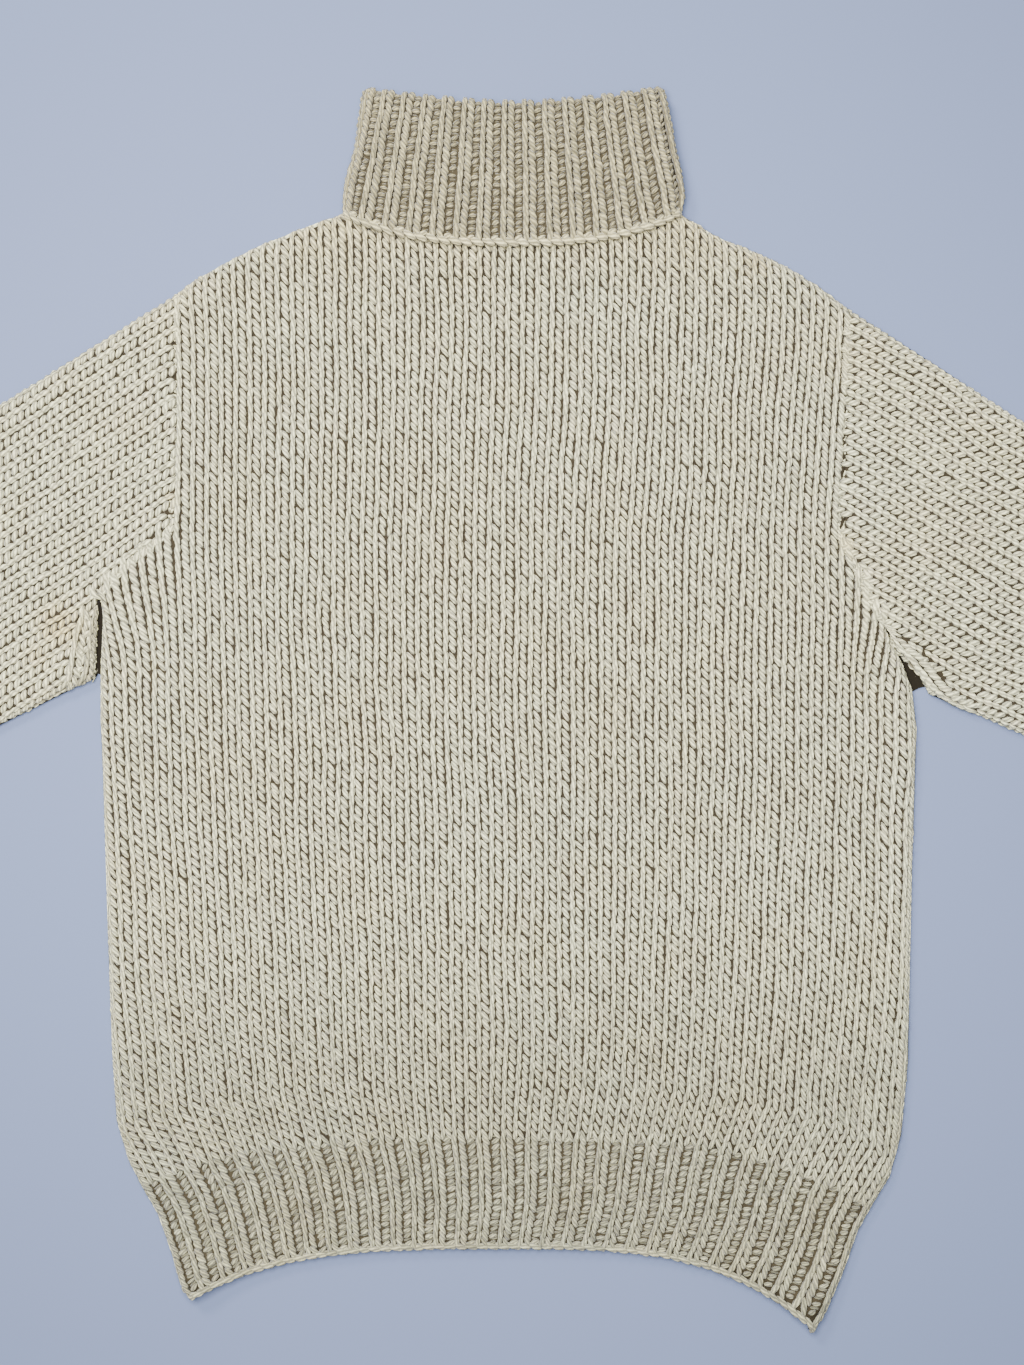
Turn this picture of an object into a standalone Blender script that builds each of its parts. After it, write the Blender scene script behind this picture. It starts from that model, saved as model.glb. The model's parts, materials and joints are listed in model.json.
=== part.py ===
# A chunky hand-knitted turtleneck sweater, laid flat with its sleeves out and its collar turned down.
# X runs to the right as seen from above, Y towards the collar and Z up from the surface that it lies on.
# Left and right are as seen from above too: the left sleeve is the one towards -X.
# Tables and helpers are in millimetres, measured from the middle of the chest. Meshes are in metres.

from collections import namedtuple

import bpy
import numpy as np

MM = 0.001
BOX_MIDDLE_X = 2.25  # the point of the tables that is the part's origin, under the middle of its box
BOX_MIDDLE_Y = -17.05

WALL = 4.7  # thickness of the knitted cloth
LAYER_GAP = 0.6  # between the back and the front where they lie on each other
SEAM_GAP = 0.25  # half of the gap between pieces that are knitted or sewn together
SIDE_PUFF = 1.5  # how far the cloth stands up beside a folded edge
PUFF_REACH = 24.0
SEAM_DITCH = 0.4  # share of the wall that an armhole seam sinks by
DITCH_REACH = 6.0
BOW = 3.3  # how late a row of stitches bends down towards the sides

Row = namedtuple("Row", "middle left_x left_y right_x right_y sewn", defaults=(False,))
HEM_ROWS = (  # from the corners of the hem up
    Row(-368, -210, -400, 197, -420),
    Row(-364, -215, -395, 203, -413),
    Row(-340, -222.5, -371, 217, -383),
    Row(-315, -231.5, -347, 226, -358),
    Row(-297, -242, -329, 235, -342),
)
BODY_ROWS = (  # from the top of the hem rib up to the neckline
    HEM_ROWS[-1],
    Row(-283, -250, -311, 246, -322),
    Row(-262, -257, -286, 253, -295),
    Row(-225, -260, -240, 257, -246),
    Row(-180, -262, -186, 258, -188),
    Row(-120, -264, -121, 259, -121),
    Row(-60, -266, -60, 261, -60),
    Row(-25, -268, -24, 263, -30),
    Row(0, -268.5, 3, 261, -4),
    Row(18, -268, 22, 255, 13),
    Row(38, -267, 42, 248, 27),
    Row(50, -269, 56, 244, 36, sewn=True),  # underarms
    Row(66, -254, 73, 233, 57, sewn=True),
    Row(82, -237, 87, 223, 77, sewn=True),
    Row(97, -223, 98, 214.5, 95, sewn=True),
    Row(130, -221, 131, 214.5, 128, sewn=True),
    Row(170, -219.5, 171, 216, 168, sewn=True),
    Row(210, -218.5, 211, 217.5, 206, sewn=True),
    Row(235, -218.5, 237, 219, 229, sewn=True),
    Row(248, -218.5, 253, 219.5, 244, sewn=True),  # shoulder tips
    Row(258, -207, 261, 202, 256.5),
    Row(270, -186, 272.5, 180, 270),
    Row(281, -164, 283, 155, 281),
    Row(290, -140, 292.5, 130, 290),
    Row(297, -118, 299.5, 116, 297.5),
    Row(299, -103.5, 301, 104, 301),
    Row(305, -101.5, 322, 103, 322),  # neckline
)

# Each sleeve runs straight from the armhole. Its lower edge starts at the fold under the arm.
Sleeve = namedtuple("Sleeve", "side fold_x fold_y slope length end_width")
SLEEVES = (
    Sleeve("left", -271.5, 3, 32.0, 545, 150),
    Sleeve("right", 272, -8, 31.5, 545, 148),
)
SLEEVE_REACHES = (0, 3, 8, 18, 45, 90, 150, 215, 290, 370, 440, 508, 526, 544.5)  # rings of points
SLEEVE_GATHER = 34.0  # length over which the sleeve draws in to the cuff
CUFF_WIDTH = 104.0
CUFF_LENGTH = 70.0
CUFF_RIBS = 7

HEM_RIBS = 30
COLLAR_RIBS = 13  # between the two rounded sides of the turned-down collar
RIB_RISE = 1.9  # knit columns over the purl columns between them
RIB_SECTION = ((0.0, -0.4), (0.3, 0.6), (0.7, 0.6))  # share of a rib's width, and of its rise
HEM_EDGE_THICKNESS = 0.55  # the lower edge is rounded
PLAIN_COLUMNS = 6  # the hem's underside keeps one column of points in this many
CORNER_LIFT = 6.0  # the hem's corners curl up off the surface
CORNER_REACH = 75.0

COLLAR_HALF = 10.2  # half of the height of the four layers of the turned-down collar
COLLAR_LAYER_GAP = 0.3
COLLAR_INSIDE = 0.5  # half of the gap inside the neck
COLLAR_WALL = 4.5
COLLAR_EDGE_THIN = (1.2, 0.8)  # the outer face and the back of the turned-down edge draw together
COLLAR_NECK_SHARE = 0.22  # height at which the inner layer meets the neckline
COLLAR_BENDS = (0, 35, 70, 110, 145, 180)  # degrees round the fold at the top
COLLAR_TURNS = (78, 48, 18, 8, -20, -45, -70)  # degrees round a side, from above
COLLAR_TURN_RISE = (0.5, 0.6, -0.3, -0.3, 0.5, 0.3, 0.0)
COLLAR_UNDER = (1, 0.6, 0.2, -0.2, -0.6, -1)  # shares across the plain underside
COLLAR_EDGE_MIDDLE = 284.7
COLLAR_EDGE_SIDES = 304.0
COLLAR_TOP_MIDDLE = 376.7
COLLAR_TOP_SIDES = 386.4
NECK_LIFT = 5.2  # the body rides over the collar's own back layer
NECK_LIFT_START = 34.0  # before the collar's edge
NECK_LIFT_END = 4.0
NECK_LIFT_HALF_WIDTH = 112.0
NECK_LIFT_FADE = 38.0

CollarSide = namedtuple("CollarSide", "share left right")
COLLAR_SIDES = (  # half widths from the turned-down edge, at 0, to the fold at the top, at 1
    CollarSide(0.0, 110.5, 110.5),
    CollarSide(0.15, 111.0, 113.0),
    CollarSide(0.3, 109.0, 111.5),
    CollarSide(0.5, 104.0, 107.5),
    CollarSide(0.75, 100.8, 104.0),
    CollarSide(1.0, 97.5, 100.0),
)

Fold = namedtuple("Fold", "x0 y0 x1 y1 width height")
FOLDS = (  # soft ridges and hollows of the upper layer
    Fold(-262, 66, -226, 98, 13, 2.6),  # over the left underarm seam
    Fold(-238, 42, -235, 8, 15, -1.4),
    Fold(-277, 42, -278, 8, 2.8, -2.2),  # crease beside the left fold under the arm
    Fold(252, 20, 258, -60, 6.5, 2.2),  # side of the body below the right underarm
    Fold(228, 48, 231, -8, 11, -1.8),
    Fold(246, 34, 276, 10, 3, -2.4),  # crease that runs out along the right sleeve
    Fold(276, 10, 300, -20, 3, -2.0),
    Fold(272, 52, 294, 0, 10, -1.5),
    Fold(-205, 240, -120, 280, 20, 1.0),  # shoulders
    Fold(120, 275, 200, 240, 20, 1.0),
    Fold(-150, -40, -70, 40, 46, 0.8),  # body
    Fold(60, -150, 150, -60, 50, -0.9),
    Fold(-180, -250, -60, -230, 30, 0.8),
    Fold(-470, 10, -440, 120, 15, -1.6),  # sleeves, further out
    Fold(-545, -80, -500, 20, 13, 1.8),
    Fold(-590, -60, -630, -90, 10, -1.4),
    Fold(430, 120, 470, 30, 16, 1.7),
    Fold(540, 0, 510, -95, 14, -1.6),
    Fold(600, -70, 640, -60, 10, 1.5),
)
FOLD_FOLLOW = 0.8  # share of a ridge that the inside of the wall follows

EDGE_STEPS = (0.0, 0.6, 2.0, 4.7, 9.0, 16.0)  # columns of points beside a folded edge
INSIDE_START = 4.9  # how far inside a folded edge the hollow of a flattened tube starts
PANEL_MIDDLE_STEPS = 9
WOOL = (0.78, 0.72, 0.56)


def smooth(share):
    share = np.clip(share, 0, 1)
    return share * share * (3 - 2 * share)


def distance(x, y, line):
    """The shortest distance from each point to a line of straight runs."""
    best = np.full(np.shape(x), np.inf)
    for (x0, y0), (x1, y1) in zip(line, line[1:]):
        run_x, run_y = x1 - x0, y1 - y0
        along = ((x - x0) * run_x + (y - y0) * run_y) / (run_x**2 + run_y**2)
        along = np.clip(along, 0, 1)
        best = np.minimum(best, np.hypot(x - x0 - along * run_x, y - y0 - along * run_y))
    return best


def left_points(rows):
    return [(row.left_x, row.left_y) for row in rows]


def right_points(rows):
    return [(row.right_x, row.right_y) for row in rows]


SEAM_ROWS = [row for row in BODY_ROWS if row.sewn]
UNDERARM = BODY_ROWS.index(SEAM_ROWS[0])
SHOULDER_TIP = BODY_ROWS.index(SEAM_ROWS[-1])
SIDE_ROWS = HEM_ROWS[:-1] + BODY_ROWS[: UNDERARM + 1]
SHOULDER_ROWS = BODY_ROWS[SHOULDER_TIP:]
SEAMS = (left_points(SEAM_ROWS), right_points(SEAM_ROWS))
BODY_FOLDS = (
    left_points(SIDE_ROWS),
    right_points(SIDE_ROWS),
    left_points(SHOULDER_ROWS),
    right_points(SHOULDER_ROWS),
)


def row_height(row, x):
    """How high a row of stitches lies at x: level in the middle, bent down to its two ends."""
    middle_x = (row.left_x + row.right_x) / 2
    share = (x - middle_x) / (row.right_x - middle_x)
    ends = np.where(share < 0, row.left_y, row.right_y)
    return row.middle + (ends - row.middle) * np.minimum(np.abs(share), 1.05) ** BOW


def collar_share(share):
    """Half widths of the collar, to the left and the right, at a share of its height."""
    at = [side.share for side in COLLAR_SIDES]
    left = np.interp(share, at, [side.left for side in COLLAR_SIDES])
    right = np.interp(share, at, [side.right for side in COLLAR_SIDES])
    return left, right


def collar_edge(x):
    across = np.minimum(np.abs(x) / COLLAR_SIDES[0].left, 1)
    return COLLAR_EDGE_MIDDLE + (COLLAR_EDGE_SIDES - COLLAR_EDGE_MIDDLE) * across**2.8


def collar_top(x):
    across = np.minimum(np.abs(x) / COLLAR_SIDES[-1].right, 1)
    return COLLAR_TOP_MIDDLE + (COLLAR_TOP_SIDES - COLLAR_TOP_MIDDLE) * across**1.6


def neck_lift(x, y):
    reach = NECK_LIFT_START - NECK_LIFT_END
    up = smooth((y - collar_edge(x) + NECK_LIFT_START) / reach)
    return NECK_LIFT * up * smooth((NECK_LIFT_HALF_WIDTH + NECK_LIFT_FADE - np.abs(x)) / NECK_LIFT_FADE)


def corner_lift(x, y):
    corner = HEM_ROWS[0]
    near = np.minimum(
        np.hypot(x - corner.left_x, y - corner.left_y), np.hypot(x - corner.right_x, y - corner.right_y)
    )
    return CORNER_LIFT * np.clip(1 - near / CORNER_REACH, 0, 1) ** 2


def relief(x, y):
    total = np.zeros(np.shape(x))
    for fold in FOLDS:
        line = [(fold.x0, fold.y0), (fold.x1, fold.y1)]
        total += fold.height * np.exp(-((distance(x, y, line) / fold.width) ** 2))
    return total


def rounded(edge):
    """Share of the wall that is left this far inside a folded edge."""
    return np.maximum(np.sqrt(1 - (1 - np.minimum(edge / WALL, 1)) ** 2), 0.06)


def nearest(x, y, lines):
    return np.min([distance(x, y, line) for line in lines], axis=0)


def upper_layer(x, y, folded):
    """Inner and outer heights of the layer that lies on top."""
    edge = nearest(x, y, folded)
    seam = nearest(x, y, SEAMS)
    lift = neck_lift(x, y)
    loose = 1 - lift / NECK_LIFT  # under the collar the cloth lies close
    puff = np.sin(np.pi * np.minimum(edge, PUFF_REACH) / PUFF_REACH) ** 2
    base = WALL + LAYER_GAP + lift + corner_lift(x, y) + SIDE_PUFF * puff * loose
    ditch = 1 - SEAM_DITCH * (1 - np.minimum(seam / DITCH_REACH, 1)) ** 2
    rise = relief(x, y) * rounded(edge) * loose
    return base + FOLD_FOLLOW * np.maximum(rise, 0), base + WALL * rounded(edge) * ditch + rise


def lower_layer(x, y, folded):
    """Inner and outer heights of the layer that rests on the surface."""
    inner = WALL + neck_lift(x, y) + corner_lift(x, y)
    return inner, inner - WALL * rounded(nearest(x, y, folded))


def material(name, tint):
    made = bpy.data.materials.new(name)
    made.use_nodes = True
    shader = made.node_tree.nodes["Principled BSDF"]
    shader.inputs["Base Color"].default_value = (*(channel * tint for channel in WOOL), 1)
    shader.inputs["Roughness"].default_value = 0.95
    shader.inputs["Metallic"].default_value = 0.0
    return made


def wall(name, outer, inner, around, tint=1.0):
    """A closed wall between two grids of points, each of rows by columns by XYZ."""
    rows, columns, _ = outer.shape
    steps = columns if around else columns - 1
    half = rows * columns
    faces = []
    for row in range(rows - 1):
        for column in range(steps):
            corner = row * columns + column
            beside = row * columns + (column + 1) % columns
            quad = (corner, beside, beside + columns, corner + columns)
            faces.append(quad)
            faces.append(tuple(half + index for index in (quad[0], quad[3], quad[2], quad[1])))
    for row, turned in ((0, True), (rows - 1, False)):
        for column in range(steps):
            a, b = row * columns + column, row * columns + (column + 1) % columns
            faces.append((a, a + half, b + half, b) if turned else (a, b, b + half, a + half))
    if not around:
        for column, turned in ((0, False), (columns - 1, True)):
            for row in range(rows - 1):
                a, b = row * columns + column, (row + 1) * columns + column
                faces.append((a, a + half, b + half, b) if turned else (a, b, b + half, a + half))
    points = np.concatenate([outer.reshape(-1, 3), inner.reshape(-1, 3)])
    points = (points - (BOX_MIDDLE_X, BOX_MIDDLE_Y, 0)) * MM
    mesh = bpy.data.meshes.new(name)
    mesh.from_pydata(points.tolist(), [], faces)
    mesh.update()
    mesh.calc_loop_triangles()
    volume = sum(
        points[a] @ np.cross(points[b], points[c]) for a, b, c in (t.vertices for t in mesh.loop_triangles)
    )
    if volume < 0:
        mesh.flip_normals()
    mesh.shade_smooth()
    mesh.set_sharp_from_angle(angle=np.radians(50))
    mesh.materials.append(material(name + "_wool", tint))
    made = bpy.data.objects.new(name, mesh)
    sweater.objects.link(made)
    return made


def grid(x, y, z):
    return np.stack([x, y, z], axis=-1)


def edge_spread(line, index):
    """How much further apart columns stand where the edge runs across the rows instead of along them."""
    before, after = line[max(index - 1, 0)], line[min(index + 1, len(line) - 1)]
    run_x, run_y = after[0] - before[0], after[1] - before[1]
    return min(np.hypot(run_x, run_y) / max(abs(run_y), 1e-6), 3.0)


def panel_grid():
    """Points of the body, from the hem rib to the neckline and from its left edge to its right."""
    steps = np.array(EDGE_STEPS)
    xs, ys = [], []
    for index, row in enumerate(BODY_ROWS):
        half = (row.right_x - row.left_x) / 2
        most = 0.45 * half / steps[-1]
        left = row.left_x + SEAM_GAP + steps * min(edge_spread(left_points(BODY_ROWS), index), most)
        right = row.right_x - SEAM_GAP - steps * min(edge_spread(right_points(BODY_ROWS), index), most)
        middle = np.linspace(left[-1], right[-1], PANEL_MIDDLE_STEPS + 1)[1:-1]
        x = np.concatenate([left, middle, right[::-1]])
        xs.append(x)
        ys.append(row_height(row, x))
    return np.array(xs), np.array(ys)


def make_body():
    x, y = panel_grid()
    inner, outer = upper_layer(x, y, BODY_FOLDS)
    wall("front_panel", grid(x, y, outer), grid(x, y, inner), around=False)
    plain = np.r_[0, 2 : x.shape[1] - 2, -1]  # fewer points beside each edge
    x, y = x[:, plain], y[:, plain]
    inner, outer = lower_layer(x, y, BODY_FOLDS)
    wall("back_panel", grid(x, y, outer), grid(x, y, inner), around=False, tint=0.97)


def rib_columns(ribs):
    """Places across a ribbed band, as shares of its width, and how far each stands up."""
    places, heights = [], []
    for rib in range(ribs):
        for share, height in RIB_SECTION:
            places.append((rib + share) / ribs)
            heights.append(height)
    return np.array(places[1:]), np.array(heights[1:])


def hem_grid():
    places, heights = rib_columns(HEM_RIBS)
    kept = (places > 0.009) & (places < 0.991)
    edge = np.array([0.0, 0.0015, 0.005])
    places = np.concatenate([edge, places[kept], 1 - edge[::-1]])
    heights = np.concatenate([edge * 0, heights[kept], edge * 0])
    xs, ys = [], []
    for row in HEM_ROWS:
        x = row.left_x + SEAM_GAP + places * (row.right_x - row.left_x - 2 * SEAM_GAP)
        xs.append(x)
        ys.append(row_height(row, x))
    panel_x, panel_y = panel_grid()
    ys[-1] = np.interp(xs[-1], panel_x[0], panel_y[0]) - 2 * SEAM_GAP  # just below the body's own edge
    return np.array(xs), np.array(ys), heights


def make_hem():
    """The deep rib below the body. Its ribs stand up on top, and the side that rests is plain."""
    x, y, heights = hem_grid()
    thinned = np.ones((len(HEM_ROWS), 1))
    thinned[0] = HEM_EDGE_THICKNESS
    inner, outer = upper_layer(x, y, BODY_FOLDS)
    outer = inner + (outer - inner) * thinned + RIB_RISE * heights * thinned
    wall("front_hem_rib", grid(x, y, outer), grid(x, y, inner), around=False, tint=0.98)
    plain = np.r_[0:3, 5 : x.shape[1] - 3 : PLAIN_COLUMNS, x.shape[1] - 3 : x.shape[1]]
    x, y = x[:, plain], y[:, plain]
    inner, outer = lower_layer(x, y, BODY_FOLDS)
    wall("back_hem_rib", grid(x, y, inner + (outer - inner) * thinned), grid(x, y, inner), False, tint=0.95)


def sleeve_frame(sleeve):
    """Outward and downward directions of a sleeve, its armhole line, and its fold under the arm."""
    outward = -1 if sleeve.side == "left" else 1
    slope = np.radians(sleeve.slope)
    along = np.array([outward * np.cos(slope), -np.sin(slope)])
    across = np.array([-outward * np.sin(slope), -np.cos(slope)])
    seam = np.array(SEAMS[0] if sleeve.side == "left" else SEAMS[1])[::-1]
    return along, across, seam, np.array([sleeve.fold_x, sleeve.fold_y])


def sleeve_start(sleeve):
    """Points down the armhole and round the fold under the arm, closer together at both edges."""
    _, across, seam, fold = sleeve_frame(sleeve)
    upright = seam[1] - seam[0]
    upright = upright / (upright @ across)
    first = [seam[0] + upright * step for step in EDGE_STEPS[:-1]]
    hanging = seam[-1] - fold
    hanging = hanging / -(hanging @ across)
    last = [fold + hanging * step for step in EDGE_STEPS[:-2]][::-1]
    kept = [point for point in seam[1:] if (point - seam[0]) @ across > EDGE_STEPS[-2] + 2]
    between = [seam[-1] + (fold - seam[-1]) * share for share in (0.3, 0.6)]
    points = np.array(first + kept + between + last)
    folded = np.concatenate([np.zeros(len(first) + len(kept)), np.ones(len(between) + len(last))])
    return points, folded


def sleeve_points(sleeve, start, reach):
    """The sleeve's points at a reach from the armhole, drawn in over the last stretch to the cuff."""
    along, across, seam, fold = sleeve_frame(sleeve)
    top = seam[0] + sleeve.length * along
    depth = (start - seam[0]) @ across / ((fold - seam[0]) @ across)
    ends = top + np.outer(depth * sleeve.end_width, across)
    points = start + (ends - start) * (reach / sleeve.length)[:, None]
    off_middle = (points - top) @ across - sleeve.end_width / 2
    gather = smooth((reach - sleeve.length + SLEEVE_GATHER) / SLEEVE_GATHER)
    pull = gather * (CUFF_WIDTH / sleeve.end_width - 1)
    return points + np.outer(off_middle * pull, across)


def sleeve_folds(sleeve):
    """Edges of a sleeve that are folds: along its top, and under its arm and along its underside."""
    _, _, seam, fold = sleeve_frame(sleeve)
    reaches = np.array(SLEEVE_REACHES)
    top = sleeve_points(sleeve, np.tile(seam[0], (len(reaches), 1)), reaches)
    bottom = sleeve_points(sleeve, np.tile(fold, (len(reaches), 1)), reaches)
    return top.tolist(), [seam[-1].tolist()] + bottom.tolist()


def make_sleeve(sleeve):
    along, across, seam, _ = sleeve_frame(sleeve)
    start, folded = sleeve_start(sleeve)
    folds = sleeve_folds(sleeve)
    depth = (start - seam[0]) @ across
    inset = np.maximum(INSIDE_START - 0.49 * depth, 0)
    inset -= np.maximum(INSIDE_START - 0.49 * (depth[-1] - depth), 0)
    inside = np.stack([np.interp(depth + inset, depth, start[:, axis]) for axis in (0, 1)], axis=-1)
    outer_rings, inner_rings = [], []
    for reach in SLEEVE_REACHES:
        outside_points = sleeve_points(sleeve, start, np.full(len(start), reach)) + along * SEAM_GAP
        inside_reach = reach + folded * max(INSIDE_START - 0.6 * reach, 0)
        inside_points = sleeve_points(sleeve, inside, inside_reach) + along * SEAM_GAP
        outer_rings.append(flat_ring(outside_points, folds))
        inner_rings.append(inner_ring(inside_points, folds))
    wall(sleeve.side + "_sleeve", np.array(outer_rings), np.array(inner_rings), around=True)


def flat_ring(points, folds, ribs=0.0):
    """A ring round a flattened tube: over its upper layer, and back under its lower one."""
    x, y = points.T
    _, top = upper_layer(x, y, folds)
    _, bottom = lower_layer(x, y, folds)
    middle = WALL + LAYER_GAP / 2
    top[[0, -1]] = middle
    ring = grid(x, y, top + ribs)
    under = grid(x, y, bottom)[1:-1][::-1]
    return np.concatenate([ring, under])


def inner_ring(points, folds):
    x, y = points.T
    top, _ = upper_layer(x, y, folds)
    bottom, _ = lower_layer(x, y, folds)
    top[[0, -1]] = WALL + LAYER_GAP / 2
    return np.concatenate([grid(x, y, top), grid(x, y, bottom)[1:-1][::-1]])


CuffRing = namedtuple("CuffRing", "reach half_width thickness rib")
CUFF_RINGS = (
    CuffRing(0.0, 51.5, 1.0, 0.3),
    CuffRing(7.0, 50.0, 1.0, 1.0),
    CuffRing(35.0, 48.5, 1.0, 1.0),
    CuffRing(64.0, 49.5, 1.0, 1.0),
    CuffRing(CUFF_LENGTH, 49.0, 0.6, 0.5),
)


def make_cuff(sleeve):
    """The ribbed band at the end of a sleeve, ribbed on top and plain where it rests."""
    along, across, seam, _ = sleeve_frame(sleeve)
    middle = seam[0] + sleeve.length * along + across * sleeve.end_width / 2
    places, heights = rib_columns(CUFF_RIBS)
    edge = np.array([0.0, 0.006, 0.02])
    kept = (places > 0.04) & (places < 0.96)
    places = np.concatenate([edge, places[kept], 1 - edge[::-1]]) * 2 - 1
    heights = np.concatenate([edge * 0, heights[kept], edge * 0])
    folds = [
        [tuple(middle + along * ring.reach + side * across * ring.half_width) for ring in CUFF_RINGS]
        for side in (-1, 1)
    ]
    outer_rings, inner_rings = [], []
    for ring in CUFF_RINGS:
        centre = middle + along * (ring.reach + 2 * SEAM_GAP)
        outside = centre + np.outer(places * ring.half_width, across)
        inside = centre + np.outer(places * (ring.half_width - INSIDE_START), across)
        outer = flat_ring(outside, folds, RIB_RISE * heights * ring.rib)
        inner = inner_ring(inside, folds)
        outer_rings.append(inner + (outer - inner) * (1, 1, ring.thickness))
        inner_rings.append(inner)
    wall(sleeve.side + "_cuff", np.array(outer_rings), np.array(inner_rings), around=True, tint=0.97)


def collar_round():
    """Places round the collar: share across its flat stretch, turn about its side, and rib height."""
    places, heights = rib_columns(COLLAR_RIBS)
    valley = [RIB_SECTION[0][1]]
    top = np.concatenate([[-1], places * 2 - 1, [1]])
    turns = np.radians(COLLAR_TURNS)
    sides = np.ones(len(turns))
    under = np.full(len(COLLAR_UNDER), -np.pi / 2)
    across = np.concatenate([top, sides, COLLAR_UNDER, -sides])
    turn = np.concatenate([np.full(len(top), np.pi / 2), turns, under, -np.pi - turns[::-1]])
    rise = np.concatenate([valley, heights, valley, COLLAR_TURN_RISE, under * 0, COLLAR_TURN_RISE[::-1]])
    return across, turn, rise


CollarRow = namedtuple("CollarRow", "share above outer inner_above inner rib")


def collar_profile():
    """The collar's section: down-turned outer layer, rounded fold, and the inner layer to the neck."""
    outer_face = COLLAR_HALF
    inner_face = COLLAR_INSIDE + COLLAR_WALL
    outer_back = inner_face + COLLAR_LAYER_GAP
    bend = (outer_face + COLLAR_INSIDE) / 2
    bend_radius = (outer_face - COLLAR_INSIDE) / 2
    small_bend, small_radius = (outer_back + inner_face) / 2, (outer_back - inner_face) / 2
    rows = [
        CollarRow(0.0, 0, outer_face - COLLAR_EDGE_THIN[0], 0, outer_back + COLLAR_EDGE_THIN[1], 0.5),
        CollarRow(0.03, 0, outer_face, 0, outer_back, 1.0),
        CollarRow(0.15, 0, outer_face, 0, outer_back, 1.0),
        CollarRow(0.5, 0, outer_face, 0, outer_back, 1.0),
    ]
    for turn in np.radians(COLLAR_BENDS):
        rows.append(
            CollarRow(
                1.0,
                bend_radius * np.sin(turn),
                bend + bend_radius * np.cos(turn),
                small_radius * np.sin(turn),
                small_bend + small_radius * np.cos(turn),
                max(np.cos(turn), 0),
            )
        )
    rows.append(CollarRow(0.6, 0, COLLAR_INSIDE, 0, inner_face, 0))
    rows.append(CollarRow(None, 0, COLLAR_INSIDE, 0, inner_face, 0))
    return rows, bend_radius


def collar_points(row, radius, above, bend_radius, across, turn):
    """One ring of the collar at a radius from the middle of its layers."""
    share = COLLAR_NECK_SHARE if row.share is None else row.share
    left, right = collar_share(share)
    middle, flat = (right - left) / 2, (left + right) / 2 - COLLAR_HALF
    x = middle + across * flat + radius * np.cos(turn)
    edge, top = collar_edge(x), collar_top(x) - bend_radius
    y = edge + (top - edge) * share + above
    if row.share is None:
        panel_x, panel_y = panel_grid()
        y = np.interp(x, panel_x[-1], panel_y[-1]) + 2 * SEAM_GAP
    return grid(x, y, COLLAR_HALF + radius * np.sin(turn))


def make_collar():
    across, turn, rise = collar_round()
    rows, bend_radius = collar_profile()
    outer, inner = [], []
    for row in rows:
        ribbed = row.outer + RIB_RISE * 0.5 * rise * row.rib
        outer.append(collar_points(row, ribbed, row.above, bend_radius, across, turn))
        inner.append(collar_points(row, row.inner, row.inner_above, bend_radius, across, turn))
    wall("collar", np.array(outer), np.array(inner), around=True, tint=1.02)


for leftover in list(bpy.data.objects):
    bpy.data.objects.remove(leftover, do_unlink=True)
sweater = bpy.data.collections.new("turtleneck_sweater")
bpy.context.scene.collection.children.link(sweater)

make_body()
make_hem()
for each in SLEEVES:
    make_sleeve(each)
    make_cuff(each)
make_collar()
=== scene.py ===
# Chunky cream turtleneck sweater, knitted by hand and laid flat with its collar turned down.
# Flat places are in millimetres from the middle of the chest, X to the right and Y towards the collar.
# Every strand is laid out flat first, and laidOut() or laidCollar() then rolls it round the folds.
import json
from collections import namedtuple

import bpy
import numpy as np
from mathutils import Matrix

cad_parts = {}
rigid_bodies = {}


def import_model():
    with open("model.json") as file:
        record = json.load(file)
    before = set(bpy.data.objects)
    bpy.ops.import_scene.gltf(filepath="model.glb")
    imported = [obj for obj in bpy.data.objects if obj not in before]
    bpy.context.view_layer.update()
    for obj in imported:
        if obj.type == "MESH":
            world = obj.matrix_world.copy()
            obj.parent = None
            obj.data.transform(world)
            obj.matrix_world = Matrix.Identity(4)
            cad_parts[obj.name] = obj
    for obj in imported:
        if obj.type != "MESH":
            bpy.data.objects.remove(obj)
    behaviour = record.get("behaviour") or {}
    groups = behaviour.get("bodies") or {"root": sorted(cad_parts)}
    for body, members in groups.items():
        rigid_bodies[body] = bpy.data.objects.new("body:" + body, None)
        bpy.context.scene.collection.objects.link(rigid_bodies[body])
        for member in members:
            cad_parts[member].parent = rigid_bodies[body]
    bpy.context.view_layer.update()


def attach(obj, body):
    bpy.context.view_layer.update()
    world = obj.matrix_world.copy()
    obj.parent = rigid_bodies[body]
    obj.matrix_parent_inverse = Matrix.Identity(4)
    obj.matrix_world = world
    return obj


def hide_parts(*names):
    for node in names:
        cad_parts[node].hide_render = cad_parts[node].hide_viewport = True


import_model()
bpy.ops.object.select_all(action="DESELECT")

mm = 0.001
quarter = np.pi / 2
Row = namedtuple("Row", "middle leftX leftY rightX rightY")
Fold = namedtuple("Fold", "x0 y0 x1 y1 width height")
Sleeve = namedtuple("Sleeve", "side foldX foldY slope length endWidth wales")
Side = namedtuple("Side", "share left right")

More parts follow.
